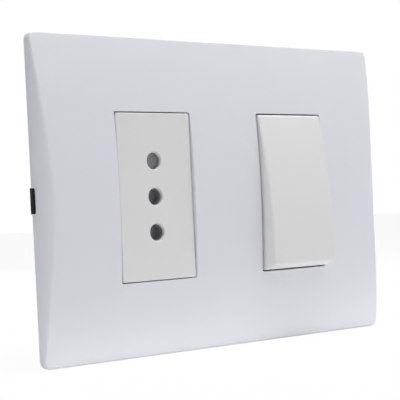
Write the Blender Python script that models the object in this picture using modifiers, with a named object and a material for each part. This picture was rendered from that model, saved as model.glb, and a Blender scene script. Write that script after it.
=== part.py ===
"""Flush-mounted switch and socket combination.

A crowned cover plate snaps onto a black support frame with three module positions. A three-pin socket
module fills the left position, a rocker switch module the right one, and the middle one stays empty.

Metres. +X is to the right as seen from the room, +Y goes into the wall and +Z is up. The origin is the
middle of the cover plate's rim, in the plane of the wall.
"""
import math

import bmesh
import bpy
from mathutils import Matrix

# Module positions
positions = 3
module_pitch = 0.0245
window_height = 0.0448
window_corner = 0.0006
window_gap = 0.0004
shell_wall = 0.0014
body_inset = 0.0014
rear_wall = 0.0057
fit_gap = 0.0003

# Cover plate
plate_side = 0.02325
plate_band = 0.0201
plate_depth = 0.00515
plate_edge_depth = 0.0019
plate_wall = 0.0016
corner_radius = 0.0040
arris_radius = 0.0005
flank_width = 0.0042
flank_lift = 0.00001
notch_height = 0.0072
notch_depth = 0.0016
notch_corner = 0.0009
latch_inset_x = 0.0075
latch_inset_z = 0.0090
latch_width = 0.0050
latch_thickness = 0.0012
latch_reach = 0.0018
latch_barb = 0.0006

# Support frame
frame_inset_x = 0.0050
frame_inset_z = 0.0055
frame_corner = 0.0030
frame_clearance = 0.00035
frame_rib = 0.0023
tab_overhang = 0.00045
box_screw_margin = 0.0050
screw_slot_length = 0.0064
screw_slot_flat = 0.0001

# Clips that hold a module to the frame
clip_x = 0.0070
clip_width = 0.0038
clip_thickness = 0.0011
clip_hook = 0.0009
clip_hook_height = 0.0007
shoulder_width = 0.0070

# Socket module
socket_depth = 0.0260
cover_face = 0.0020
cover_edge = 0.0005
pin_pitch = 0.0095
pin_radius = 0.0020
pin_clearance = 0.00025
pin_rim = 0.0006
pin_rim_lift = 0.0001
guide_wall = 0.00115
guide_reach = 0.0012
sleeve_play = 0.00005
sleeve_wall = 0.00065
sleeve_slit = 0.0007
sleeve_root = 0.0048
pole_wall = 0.0012
flange_thickness = 0.0017
leg_width = 0.0060
leg_thickness = 0.0013
leg_reach = 0.0050
leg_barb = 0.0009
leg_barb_height = 0.0016

# Terminals of both modules
block_thickness = 0.0032
foot_thickness = 0.0014
terminal_gap = 0.00055
terminal_setback = 0.00195
terminal_step = 0.0005
terminal_margin = 0.0020
saddle_margin = 0.0006
saddle_thickness = 0.0009
terminal_shank = 0.00125
terminal_shank_length = 0.0060
terminal_head = 0.0024
terminal_head_height = 0.0018

# Box screws
box_head = 0.0033
box_head_height = 0.0016
box_shank = 0.00175
box_shank_length = 0.0250
recess_width = 0.0006
recess_depth = 0.0009
recess_reach = 0.6

# Head outlines, as shares of the head's radius and height
screw_dome = ((0.0, 1.0), (0.55, 1.0), (0.87, 0.75), (1.0, 0.3), (1.0, 0.0))
rivet_dome = ((0.0, 1.0), (0.5, 1.0), (0.85, 0.8), (1.0, 0.4), (1.0, 0.0))

# Rocker switch module
key_tilt = math.radians(6.3)
key_rise = 0.0041
key_crown_radius = 0.2000
key_pivot_depth = 0.0030
key_skirt = 0.0009
key_wall = 0.0015
key_edge = 0.0006
trunnion_radius = 0.0015
cheek_thickness = 0.0016
cheek_radius = 0.0034
cheek_root = 0.0060
tube_radius = 0.0030
tube_setback = 0.0045
plunger_radius = 0.0016
plunger_reach = 0.0100
plunger_seat = 0.0010
spring_wire = 0.0002
spring_turns = 5
points_per_turn = 12
blade_tilt = math.radians(9.0)
blade_width = 0.0060
blade_thickness = 0.0008
contact_offset = 0.0095
rivet_radius = 0.0018
rivet_head = 0.0009
rivet_shank = 0.0009
knife_thickness = 0.0012
pad_thickness = 0.0012
pad_margin = 0.0006
strip_rise = 0.0015

# How far a cutter runs past what it cuts
overrun = 0.0010
# How far a joined shape sinks into its carrier
sink = 0.0003

# Places that follow from the sizes above
positions_half = positions * module_pitch / 2
plate_width = 2 * (positions_half + plate_side)
plate_height = window_height + 2 * plate_band
crown_drop = plate_depth - plate_edge_depth
crown_radius = ((plate_height / 2) ** 2 + crown_drop ** 2) / (2 * crown_drop)


def crown(z, crest):
    """Distance from the wall of a surface parallel to the plate's front, with its middle at crest."""
    radius = crown_radius - plate_depth + crest
    return crest - radius + math.sqrt(radius ** 2 - z ** 2)


socket_x = -module_pitch
switch_x = module_pitch
window_half = window_height / 2
module_half = module_pitch / 2 - window_gap
body_half = window_half - body_inset
face_y = -crown(window_half, plate_depth)
inner_crest = plate_depth - plate_wall
frame_crest = inner_crest - frame_clearance

key_total_rise = key_rise + key_pivot_depth
key_fall = key_crown_radius - math.sqrt(key_crown_radius ** 2 - window_half ** 2)
key_half = (window_half - window_gap - (key_total_rise - key_fall) * math.sin(key_tilt)) / math.cos(key_tilt)
key_end_rise = key_total_rise - key_crown_radius + math.sqrt(key_crown_radius ** 2 - key_half ** 2)
key_sweep = math.hypot(key_half, key_end_rise)
pivot_y = face_y + key_pivot_depth

opening_half = key_sweep + window_gap
clip_inner = opening_half + fit_gap
clip_outer = clip_inner + clip_thickness
clip_reach = clip_outer + clip_hook
flange_half = clip_outer + fit_gap
clip_tip = fit_gap - crown(clip_reach, inner_crest)
frame_floor = -clip_tip - clip_hook_height - fit_gap
frame_half_x = plate_width / 2 - frame_inset_x
frame_half_z = plate_height / 2 - frame_inset_z
latch_x = frame_half_x - latch_inset_x
latch_z = frame_half_z - latch_inset_z
box_screw_x = positions_half + box_screw_margin
seat_half = box_head + 2 * fit_gap

pin_hole_radius = pin_radius + pin_clearance
guide_radius = pin_hole_radius + guide_wall
sleeve_bore = pin_radius + sleeve_play
sleeve_radius = sleeve_bore + sleeve_wall
terminal_height = pin_pitch - pole_wall - 2 * terminal_gap
terminal_reach = module_half - shell_wall - terminal_setback
terminal_inner = sleeve_radius + terminal_step
terminal_z = body_half - shell_wall - terminal_margin - terminal_height / 2
saddle_size = terminal_height - 2 * saddle_margin
terminal_screw_x = terminal_reach - saddle_size / 2
socket_floor = socket_depth - rear_wall

plunger_centre = plunger_reach - plunger_radius
knife_y = pivot_y + plunger_centre * math.cos(key_tilt) + (
    fit_gap + plunger_radius + fit_gap + blade_thickness
    - plunger_centre * math.sin(key_tilt) * math.sin(blade_tilt)) / math.cos(blade_tilt)
contact_y = knife_y + rivet_head * math.cos(blade_tilt) + contact_offset * math.sin(blade_tilt)
contact_z = rivet_head * math.sin(blade_tilt) - contact_offset * math.cos(blade_tilt)
pad_y = contact_y + fit_gap + rivet_head + fit_gap
switch_rim = pivot_y + key_skirt * math.cos(key_tilt) + key_sweep * math.sin(key_tilt) + fit_gap
switch_floor = pad_y + pad_thickness + strip_rise + foot_thickness + fit_gap
switch_depth = switch_floor + rear_wall


# Collections, finishes and small helpers

for leftover in list(bpy.data.objects):
    bpy.data.objects.remove(leftover, do_unlink=True)

parts = bpy.data.collections.new("switch_and_socket")
cutters = bpy.data.collections.new("cutters")
bpy.context.scene.collection.children.link(parts)
bpy.context.scene.collection.children.link(cutters)


def finish(name, colour, roughness, metallic=0.0):
    """Principled material of one colour."""
    material = bpy.data.materials.new(name)
    material.use_nodes = True
    shader = material.node_tree.nodes["Principled BSDF"]
    shader.inputs["Base Color"].default_value = (*colour, 1.0)
    shader.inputs["Roughness"].default_value = roughness
    shader.inputs["Metallic"].default_value = metallic
    return material


plate_white = finish("plate_white", (0.80, 0.81, 0.84), 0.35)
module_white = finish("module_white", (0.77, 0.77, 0.76), 0.38)
frame_black = finish("frame_black", (0.02, 0.02, 0.022), 0.45)
housing_grey = finish("housing_grey", (0.10, 0.10, 0.11), 0.5)
brass = finish("brass", (0.72, 0.52, 0.24), 0.3, 1.0)
copper = finish("copper", (0.76, 0.42, 0.28), 0.3, 1.0)
silver = finish("silver", (0.82, 0.81, 0.78), 0.25, 1.0)
steel = finish("steel", (0.62, 0.62, 0.63), 0.32, 1.0)


def place(name, mesh, parent=None):
    """Object with this mesh, in the frame of its parent."""
    piece = bpy.data.objects.new(name, mesh)
    piece.parent = parent
    return piece


def frame_at(name, location, angle=0.0, parent=None):
    """Empty that carries a module, or that stands on a joint's axis and holds the rest position."""
    empty = place(name, None, parent)
    empty.location = location
    empty.rotation_euler = (angle, 0.0, 0.0)
    cutters.objects.link(empty)
    return empty


def node(name, mesh, material, parent=None):
    """Named sub-part of the object."""
    mesh.materials.clear()
    mesh.materials.append(material)
    piece = place(name, mesh, parent)
    parts.objects.link(piece)
    return piece


def tool(name, mesh, parent=None):
    """Guide shape that is joined to a piece or cut from it."""
    piece = place(name, mesh, parent)
    piece.display_type = "WIRE"
    piece.hide_render = True
    cutters.objects.link(piece)
    return piece


def combine(piece, other, operation):
    """Add one Boolean to a piece."""
    modifier = piece.modifiers.new(other.name, "BOOLEAN")
    modifier.operation = operation
    modifier.solver = "EXACT"
    modifier.object = other


def join(piece, *others):
    """Make other shapes part of a piece."""
    for other in others:
        combine(piece, other, "UNION")


def cut(piece, *others):
    """Cut other shapes out of a piece."""
    for other in others:
        combine(piece, other, "DIFFERENCE")


def mesh_from(shape, name):
    """Mesh data from a bmesh, with all faces pointing out."""
    bmesh.ops.recalc_face_normals(shape, faces=shape.faces)
    mesh = bpy.data.meshes.new(name)
    shape.to_mesh(mesh)
    shape.free()
    return mesh


def blocks(name, *spans):
    """Mesh of upright blocks, each given by two opposite corners."""
    shape = bmesh.new()
    for low, high in spans:
        cube = bmesh.ops.create_cube(shape, size=1.0)["verts"]
        size = [abs(b - a) for a, b in zip(low, high)]
        middle = [(a + b) / 2 for a, b in zip(low, high)]
        bmesh.ops.scale(shape, verts=cube, vec=size)
        bmesh.ops.translate(shape, verts=cube, vec=middle)
    return mesh_from(shape, name)


def arc(centre, radius, start, end, steps):
    """Points on a circle from one angle to another, in degrees."""
    angles = [math.radians(start + (end - start) * i / steps) for i in range(steps + 1)]
    return [(centre[0] + radius * math.cos(a), centre[1] + radius * math.sin(a)) for a in angles]


def rounded_rectangle(width, height, radius, centre=(0.0, 0.0), steps=4):
    """Outline of a rectangle with round corners."""
    across = width / 2 - radius
    up = height / 2 - radius
    points = []
    for quarter, (side, rise) in enumerate(((1, 1), (-1, 1), (-1, -1), (1, -1))):
        corner = (centre[0] + side * across, centre[1] + rise * up)
        points += arc(corner, radius, 90 * quarter, 90 * quarter + 90, steps)
    return points


def extruded(name, outline, low, high, along):
    """Flat outline filled and extruded: (y, z) along X, (x, z) along Y or (x, y) along Z."""
    curve = bpy.data.curves.new(name, "CURVE")
    curve.dimensions = "2D"
    curve.fill_mode = "BOTH"
    curve.extrude = (high - low) / 2
    spline = curve.splines.new("POLY")
    spline.points.add(len(outline) - 1)
    for point, (across, up) in zip(spline.points, outline):
        point.co = (across, up, 0.0, 1.0)
    spline.use_cyclic_u = True
    guide = bpy.data.objects.new(name, curve)
    quarter = math.pi / 2
    guide.rotation_euler = {"X": (quarter, 0, quarter), "Y": (quarter, 0, 0), "Z": (0, 0, 0)}[along]
    guide.location["XYZ".index(along)] = (low + high) / 2
    cutters.objects.link(guide)
    bpy.context.view_layer.update()
    evaluated = guide.evaluated_get(bpy.context.evaluated_depsgraph_get())
    flat = bpy.data.meshes.new_from_object(evaluated)
    flat.transform(guide.matrix_world)
    bpy.data.objects.remove(guide)
    shape = bmesh.new()
    shape.from_mesh(flat)
    bmesh.ops.remove_doubles(shape, verts=shape.verts, dist=1e-7)
    return mesh_from(shape, name)


def rod(name, radius, low, high, along, centre, segments=20):
    """Mesh of a straight rod along X or Y, centred on (y, z) or (x, z)."""
    shape = bmesh.new()
    bmesh.ops.create_cone(shape, cap_ends=True, segments=segments, radius1=radius, radius2=radius,
                          depth=high - low)
    mesh = mesh_from(shape, name)
    middle = (low + high) / 2
    if along == "X":
        place_at = Matrix.Translation((middle, *centre))
        mesh.transform(place_at @ Matrix.Rotation(math.pi / 2, 4, "Y"))
    else:
        place_at = Matrix.Translation((centre[0], middle, centre[1]))
        mesh.transform(place_at @ Matrix.Rotation(math.pi / 2, 4, "X"))
    return mesh


def turn(piece, steps=20):
    """Revolve a profile about its own Z axis."""
    lathe = piece.modifiers.new("turned", "SCREW")
    lathe.axis = "Z"
    lathe.angle = 2 * math.pi
    lathe.steps = steps
    lathe.render_steps = steps
    lathe.use_merge_vertices = True
    lathe.merge_threshold = 1e-6
    lathe.use_smooth_shade = True


def repeat(piece, count, offset):
    """Copies of a piece in a row, in its own frame."""
    row = piece.modifiers.new("row", "ARRAY")
    row.count = count
    row.use_relative_offset = False
    row.use_constant_offset = True
    row.constant_offset_displace = offset


def profile(name, points):
    """Open profile of (radius, height) points, from the top down its outer side."""
    shape = bmesh.new()
    verts = [shape.verts.new((radius, 0.0, height)) for radius, height in points]
    for upper, lower in zip(verts, verts[1:]):
        shape.edges.new((upper, lower))
    mesh = bpy.data.meshes.new(name)
    shape.to_mesh(mesh)
    shape.free()
    return mesh


def facing_room(piece, location):
    """Stand a turned piece with its top towards the room."""
    piece.location = location
    piece.rotation_euler = (math.pi / 2, 0, 0)


def facing_wall(piece, location):
    """Stand a turned piece with its top towards the wall."""
    piece.location = location
    piece.rotation_euler = (-math.pi / 2, 0, 0)


# Cover plate

def crowned_outline(crest, half, rear, steps=20):
    """(y, z) outline under a surface parallel to the plate's front."""
    heights = [half * (2 * i / steps - 1) for i in range(steps + 1)]
    return [(-crown(z, crest), z) for z in heights] + [(rear, half), (rear, -half)]


def plate_side_outline():
    """(y, z) outline of the plate: a crowned front with a rounded arris above and below."""
    half = plate_height / 2
    edge = half - arris_radius
    front = crowned_outline(plate_depth, edge, 0.0)[:-2]
    centre_y = -crown(edge, plate_depth) + arris_radius
    upper = arc((centre_y, edge), arris_radius, 180, 90, 3)[1:]
    lower = [(y, -z) for y, z in reversed(upper)]
    return lower + front + upper + [(0.0, half), (0.0, -half)]


def flank_outline(inset, rear, steps=9):
    """(x, y) outline of the plate in plan, with a quarter ellipse at each flank."""
    half = plate_width / 2 - inset
    depth = plate_depth - inset + flank_lift
    right = []
    for i in range(steps + 1):
        angle = math.pi / 2 * i / steps
        right.append((half - flank_width * (1 - math.cos(angle)), -depth * math.sin(angle)))
    left = [(-x, y) for x, y in reversed(right)]
    return [(half, rear)] + right + left + [(-half, rear)]


def plate_cavity():
    """Hollow behind the plate's wall."""
    half = plate_height / 2
    width = plate_width - 2 * plate_wall
    height = plate_height - 2 * plate_wall
    hollow = tool("plate_hollow", extruded("plate_hollow", crowned_outline(inner_crest, half, overrun),
                                           -plate_width, plate_width, "X"))
    plan = tool("plate_hollow_plan", extruded("plate_hollow_plan", flank_outline(plate_wall, 2 * overrun),
                                              -plate_height, plate_height, "Z"))
    front = tool("plate_hollow_front", extruded(
        "plate_hollow_front", rounded_rectangle(width, height, corner_radius - plate_wall),
        -2 * plate_depth, 3 * overrun, "Y"))
    combine(hollow, plan, "INTERSECT")
    combine(hollow, front, "INTERSECT")
    return hollow


def notch_outline(height, depth, corner, rear):
    """(y, z) outline of a pry notch, open at the rear and with round front corners."""
    inner = height / 2 - corner
    upper = arc((corner - depth, inner), corner, 180, 90, 3)
    lower = [(y, -z) for y, z in reversed(upper)]
    return lower + upper + [(rear, height / 2), (rear, -height / 2)]


def latch_outline(side):
    """(y, z) outline of a snap tongue on the plate's inner face."""
    root = -crown(latch_z, inner_crest) - sink
    inner = latch_z - latch_thickness / 2
    outer = latch_z + latch_thickness / 2
    points = [(root, inner), (latch_reach, inner), (latch_reach, latch_z),
              (latch_reach / 2 + fit_gap, outer + latch_barb), (fit_gap, outer + latch_barb),
              (fit_gap, outer), (root, outer)]
    return [(y, side * z) for y, z in points]


def make_cover_plate():
    """Crowned white shell with two windows, two pry notches and four snap tongues."""
    block = extruded("cover_plate", plate_side_outline(), -plate_width, plate_width, "X")
    plate = node("cover_plate", block, plate_white)
    plan = tool("plate_plan", extruded("plate_plan", flank_outline(0.0, overrun),
                                       -plate_height, plate_height, "Z"))
    front = tool("plate_front", extruded(
        "plate_front", rounded_rectangle(plate_width + overrun, plate_height, corner_radius + overrun / 2,
                                         steps=6), -2 * plate_depth, overrun, "Y"))
    combine(plate, plan, "INTERSECT")
    combine(plate, front, "INTERSECT")
    cut(plate, plate_cavity())
    for label, centre in (("socket", socket_x), ("switch", switch_x)):
        window = rounded_rectangle(module_pitch, window_height, window_corner, (centre, 0.0), steps=3)
        cut(plate, tool(label + "_window", extruded(label + "_window", window, -2 * plate_depth,
                                                    overrun, "Y")))
    inner = plate_width / 2 - flank_width + sink
    outer = plate_width / 2 + overrun
    for label, low, high in (("left", -outer, -inner), ("right", inner, outer)):
        notch = notch_outline(notch_height, notch_depth, notch_corner, overrun)
        cut(plate, tool(label + "_notch", extruded(label + "_notch", notch, low, high, "X")))
    half = latch_width / 2
    for label, x, side in (("a", -latch_x, 1), ("b", latch_x, 1), ("c", -latch_x, -1), ("d", latch_x, -1)):
        tongue = extruded("latch_" + label, latch_outline(side), x - half, x + half, "X")
        join(plate, tool("latch_" + label, tongue))


# Support frame

def clip_notches(centre, label):
    """Slots and front recesses in the frame for the four clips of one module position."""
    spans = []
    for x in (centre - clip_x, centre + clip_x):
        for side in (-1, 1):
            half = clip_width / 2 + fit_gap
            spans.append(((x - half, -plate_depth, side * (opening_half - overrun)),
                          (x + half, overrun, side * flange_half)))
    slots = tool(label + "_clip_slots", blocks(label + "_clip_slots", *spans))
    spans = []
    for x in (centre - clip_x, centre + clip_x):
        for side in (-1, 1):
            half = clip_width / 2 + fit_gap
            spans.append(((x - half, -plate_depth, side * (opening_half - overrun / 2)),
                          (x + half, -frame_floor, side * (clip_reach + fit_gap))))
    recesses = tool(label + "_clip_recesses", blocks(label + "_clip_recesses", *spans))
    return slots, recesses


def make_support_frame():
    """Black carrier behind the plate, with one opening for three modules."""
    shape = rounded_rectangle(2 * frame_half_x, 2 * frame_half_z, frame_corner)
    frame = node("support_frame", extruded("support_frame", shape, -plate_depth, 0.0, "Y"), frame_black)
    crowned = tool("frame_crown", extruded("frame_crown", crowned_outline(
        frame_crest, plate_height / 2, overrun, 16), -plate_width, plate_width, "X"))
    combine(frame, crowned, "INTERSECT")
    tab_end = plate_width / 2 + tab_overhang
    tab_start = frame_half_x - overrun
    tab = notch_outline(notch_height - 2 * fit_gap, notch_depth - fit_gap, notch_corner - fit_gap, 0.0)
    for label, low, high in (("left", -tab_end, -tab_start), ("right", tab_start, tab_end)):
        join(frame, tool(label + "_tab", extruded(label + "_tab", tab, low, high, "X")))
    opening = blocks("frame_opening", ((-positions_half, -2 * plate_depth, -opening_half),
                                       (positions_half, overrun, opening_half)))
    cut(frame, tool("frame_opening", opening))
    for label, centre in (("left", socket_x), ("middle", 0.0), ("right", switch_x)):
        cut(frame, *clip_notches(centre, label))
    shank_gap = box_shank + fit_gap
    for label, side in (("left", -1), ("right", 1)):
        x = side * box_screw_x
        slot = rounded_rectangle(screw_slot_length, 2 * shank_gap, shank_gap - screw_slot_flat, (x, 0.0))
        seat = rounded_rectangle(2 * seat_half, 2 * seat_half, box_head / 2, (x, 0.0))
        cut(frame,
            tool(label + "_screw_slot", extruded(label + "_screw_slot", slot, -plate_depth, overrun, "Y")),
            tool(label + "_screw_seat", extruded(label + "_screw_seat", seat, -plate_depth - overrun,
                                                 -frame_floor, "Y")))
        for row in (-1, 1):
            name = label + ("_upper_" if row > 0 else "_lower_")
            low = latch_z - latch_thickness / 2 - fit_gap
            high = latch_z + latch_thickness / 2 + latch_barb + fit_gap
            inner = seat_half + frame_rib
            outer = low - frame_rib
            centre = (side * (frame_half_x + positions_half) / 2, row * (inner + outer) / 2)
            hollow = rounded_rectangle(frame_half_x - positions_half - 2 * frame_rib, outer - inner,
                                       notch_corner, centre, steps=2)
            cut(frame, tool(name + "pocket", extruded(name + "pocket", hollow, -2 * plate_depth,
                                                      -frame_floor, "Y")))
            half = latch_width / 2 + fit_gap
            slit = blocks(name + "latch_slot", ((side * latch_x - half, -2 * plate_depth, row * low),
                                                (side * latch_x + half, 2 * overrun, row * high)))
            cut(frame, tool(name + "latch_slot", slit))


# Screws

def screw(name, head, head_height, shank, length, point, parent=None):
    """Round-headed screw with a cross recess, its head's seat at its own origin."""
    dome = [(out * head, up * head_height) for out, up in screw_dome]
    stem = [(shank, 0.0), (shank, point - length), (0.0, -length)]
    piece = node(name, profile(name, dome + stem), steel, parent)
    turn(piece, 18)
    arm = recess_reach * head
    for label, across, up in (("_slot_a", arm, recess_width), ("_slot_b", recess_width, arm)):
        low = (-across, -up, head_height - recess_depth)
        high = (across, up, head_height + overrun)
        cut(piece, tool(name + label, blocks(name + label, (low, high)), piece))
    return piece


def make_box_screws():
    """Two screws that hold the frame to the wall box."""
    for label, side in (("left", -1), ("right", 1)):
        piece = screw("box_screw_" + label, box_head, box_head_height, box_shank, box_shank_length, box_shank)
        facing_room(piece, (side * box_screw_x, -frame_floor - fit_gap, 0.0))


# Terminals of one module, in that module's own frame

def terminal_pockets(name, module, side, floor, heights):
    """Pockets in a module's rear for the terminal screws, open to its outer side."""
    half = terminal_height / 2 + sink
    spans = []
    for z in heights:
        spans.append(((side * (terminal_inner - overrun), floor - overrun, z - half),
                      (side * (module_half + overrun), floor + rear_wall + overrun, z + half)))
    return tool(name, blocks(name, *spans), module)


def terminal_foot(name, module, side, floor, z, thickness):
    """Flat part of a contact, to which the saddle plate clamps a wire."""
    rear = floor - fit_gap
    foot = blocks(name, ((-side * terminal_inner, rear - thickness, z - terminal_height / 2),
                         (side * terminal_reach, rear, z + terminal_height / 2)))
    return tool(name, foot, module)


def make_clamp(name, module, side, floor, z, contact):
    """Saddle plate and screw of one terminal, and the screw's hole in the contact."""
    x = side * terminal_screw_x
    hole = rod(name + "_hole", terminal_shank + fit_gap, floor - rear_wall, floor + rear_wall, "Y",
               (x, z), 16)
    bore = tool(name + "_hole", hole, module)
    half = saddle_size / 2
    plate = blocks(name + "_saddle", ((x - half, floor, z - half),
                                      (x + half, floor + saddle_thickness, z + half)))
    saddle = node(name + "_saddle", plate, steel, module)
    cut(saddle, bore)
    cut(contact, bore)
    piece = screw(name + "_screw", terminal_head, terminal_head_height, terminal_shank,
                  terminal_shank_length, fit_gap, module)
    facing_wall(piece, (x, floor + saddle_thickness + fit_gap, z))


# Clips of one module

def clips(name, module, root):
    """Four hooked clips that reach forward from a module's flange through the frame."""
    ledge = clip_tip + clip_hook_height
    points = [(root, clip_inner), (clip_tip, clip_inner), (clip_tip, clip_outer + clip_hook / 3),
              (clip_tip + clip_hook_height / 2, clip_reach), (ledge, clip_reach),
              (ledge, clip_outer), (root, clip_outer)]
    half = clip_width / 2
    tools = []
    for column, x in (("_left", -clip_x), ("_right", clip_x)):
        for row, side in (("_upper", 1), ("_lower", -1)):
            label = name + column + row
            outline = [(y, side * z) for y, z in points]
            tools.append(tool(label, extruded(label, outline, x - half, x + half, "X"), module))
    return tools


# Socket module

def rounded_cover_mesh():
    """Block of the socket cover with round corners and a rounded front edge."""
    height = 2 * (window_half - window_gap)
    outline = rounded_rectangle(2 * module_half, height, window_corner - fit_gap / 2, steps=3)
    mesh = extruded("socket_cover", outline, face_y, 0.0, "Y")
    shape = bmesh.new()
    shape.from_mesh(mesh)
    front = [edge for edge in shape.edges if len(edge.link_faces) == 2
             and all(abs(v.co.y - face_y) < 1e-6 for v in edge.verts)
             and abs(edge.calc_face_angle()) > 0.5]
    bmesh.ops.bevel(shape, geom=front, offset=cover_edge, segments=3, profile=0.5, material=-1,
                    affect="EDGES")
    return mesh_from(shape, "socket_cover")


def pin_column(name, points, steps, module):
    """A turned shape at each of the three pins, one above the other."""
    piece = tool(name, profile(name, points), module)
    turn(piece, steps)
    repeat(piece, 3, (0.0, pin_pitch, 0.0))
    facing_room(piece, (0.0, face_y, -pin_pitch))
    return piece


def leg_outline():
    """(y, z) outline of the socket cover's upper snap leg."""
    inner_z = window_half - window_gap - shell_wall
    outer = body_half - shell_wall - fit_gap
    root = face_y + cover_face - sink
    ledge = leg_reach - leg_barb_height
    return [(root, outer - leg_thickness), (leg_reach, outer - leg_thickness),
            (leg_reach, outer - leg_thickness / 2), (ledge + fit_gap, outer + leg_barb),
            (ledge, outer + leg_barb), (ledge, outer), (-fit_gap, outer),
            (-fit_gap, inner_z + sink), (root, inner_z + sink)]


def make_socket_cover(module):
    """Off-white front of the socket, with a guide behind each pin hole and two snap legs."""
    cover = node("socket_cover", rounded_cover_mesh(), module_white, module)
    inner_x = module_half - shell_wall
    inner_z = window_half - window_gap - shell_wall
    hollow = blocks("cover_hollow", ((-inner_x, face_y + cover_face, -inner_z), (inner_x, overrun, inner_z)))
    cut(cover, tool("cover_hollow", hollow, module))
    for label, side in (("upper_leg", 1), ("lower_leg", -1)):
        outline = [(y, side * z) for y, z in leg_outline()]
        join(cover, tool(label, extruded(label, outline, -leg_width / 2, leg_width / 2, "X"), module))
    end = face_y - guide_reach
    guide = [(0.0, sink - cover_face), (guide_radius, sink - cover_face), (guide_radius, end), (0.0, end)]
    join(cover, pin_column("pin_guides", guide, 24, module))
    rim = arc((pin_hole_radius + pin_rim, pin_rim_lift - pin_rim), pin_rim, 90, 180, 3)
    hole = [(0.0, overrun), (pin_hole_radius + pin_rim, overrun)] + rim
    hole += [(pin_hole_radius, end - overrun), (0.0, end - overrun)]
    cut(cover, pin_column("pin_holes", hole, 24, module))


def make_socket_housing(module):
    """Grey housing with a chamber for each pole, a flange behind the frame and four clips."""
    body = blocks("socket_housing", ((-module_half, fit_gap, -body_half),
                                     (module_half, socket_depth, body_half)))
    housing = node("socket_housing", body, housing_grey, module)
    flange = blocks("socket_flange", ((-module_half, fit_gap, -flange_half),
                                      (module_half, fit_gap + flange_thickness, flange_half)))
    inner = module_half - shell_wall
    inner_z = body_half - shell_wall
    hollow = blocks("socket_hollow", ((-inner, -overrun, -inner_z), (inner, socket_floor, inner_z)))
    half = leg_width / 2 + fit_gap
    ledge = leg_reach - leg_barb_height - fit_gap
    windows = [((-half, ledge, side * (inner_z - sink)),
                (half, leg_reach + fit_gap, side * (body_half + overrun))) for side in (-1, 1)]
    walls = [((-inner - sink, guide_reach + overrun, z - pole_wall / 2),
              (inner + sink, socket_floor + sink, z + pole_wall / 2))
             for z in (-pin_pitch / 2, pin_pitch / 2)]
    join(housing, tool("socket_flange", flange, module))
    cut(housing, tool("socket_hollow", hollow, module))
    cut(housing, tool("leg_windows", blocks("leg_windows", *windows), module))
    join(housing, tool("pole_walls", blocks("pole_walls", *walls), module))
    join(housing, *clips("socket_clip", module, fit_gap + flange_thickness / 2))
    heights = (pin_pitch, 0.0, -pin_pitch)
    cut(housing, terminal_pockets("socket_pockets", module, -1, socket_floor, heights))


def make_contact(pole, z, module):
    """Brass contact: a slit sleeve that grips the pin, and a block that the wire is clamped to."""
    name = pole + "_contact"
    block_front = socket_floor - fit_gap - block_thickness
    start = guide_reach + fit_gap
    outside = [(sleeve_bore + fit_gap, -start), (sleeve_radius, -start - fit_gap),
               (sleeve_radius, -block_front - sink), (0.0, -block_front - sink)]
    inside = [(0.0, sink - block_front), (sleeve_bore, sink - block_front),
              (sleeve_bore, -start - fit_gap), (sleeve_bore + fit_gap, -start)]
    piece = node(name, profile(name, outside + inside), brass, module)
    turn(piece, 20)
    facing_room(piece, (0.0, 0.0, z))
    reach = block_front - sleeve_root
    slit = sleeve_slit / 2
    wide = sleeve_radius + overrun
    for label, across, up in (("_slit_a", slit, wide), ("_slit_b", wide, slit)):
        slot = blocks(name + label, ((-across, 0.0, z - up), (across, reach, z + up)))
        cut(piece, tool(name + label, slot, module))
    join(piece, terminal_foot(name + "_block", module, -1, socket_floor, z, block_thickness))
    make_clamp(pole + "_terminal", module, -1, socket_floor, z, piece)


# Switch module

def make_cheeks(housing, module):
    """Two upright cheeks inside the switch, with the holes that the key's trunnions turn in."""
    outer = module_half - key_wall - fit_gap
    inner = module_half - shell_wall
    end = switch_rim + cheek_root
    outline = arc((pivot_y, 0.0), cheek_radius, 270, 90, 10) + [(end, cheek_radius), (end, -cheek_radius)]
    foot = switch_rim + flange_thickness / 2
    for label, side in (("left_cheek", -1), ("right_cheek", 1)):
        low, high = sorted((side * (outer - cheek_thickness), side * outer))
        join(housing, tool(label, extruded(label, outline, low, high, "X"), module))
        root = blocks(label + "_root", ((side * (outer - cheek_thickness / 2), foot, -cheek_radius / 2),
                                        (side * (inner + sink), end - sink, cheek_radius / 2)))
        join(housing, tool(label + "_root", root, module))
    hole = rod("trunnion_hole", trunnion_radius + fit_gap, -inner, inner, "X", (pivot_y, 0.0))
    cut(housing, tool("trunnion_hole", hole, module))


def make_switch_housing(module):
    """Grey housing of the switch, with the two cheeks that the key turns in."""
    body = blocks("switch_housing", ((-module_half, switch_rim, -body_half),
                                     (module_half, switch_depth, body_half)))
    housing = node("switch_housing", body, housing_grey, module)
    flange = blocks("switch_flange", ((-module_half, switch_rim, -flange_half),
                                      (module_half, switch_rim + flange_thickness, flange_half)))
    join(housing, tool("switch_flange", flange, module))
    inner = module_half - shell_wall
    inner_z = body_half - shell_wall
    hollow = blocks("switch_hollow", ((-inner, -plate_depth, -inner_z), (inner, switch_floor, inner_z)))
    cut(housing, tool("switch_hollow", hollow, module))
    make_cheeks(housing, module)
    join(housing, *clips("switch_clip", module, switch_rim + flange_thickness / 2))
    half = shoulder_width / 2
    shoulders = [((x - half, fit_gap, side * clip_inner), (x + half, switch_rim + sink, side * flange_half))
                 for x in (-clip_x, clip_x) for side in (-1, 1)]
    join(housing, tool("switch_shoulders", blocks("switch_shoulders", *shoulders), module))
    heights = (terminal_z, -terminal_z)
    cut(housing, terminal_pockets("switch_pockets", module, 1, switch_floor, heights))


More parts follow.
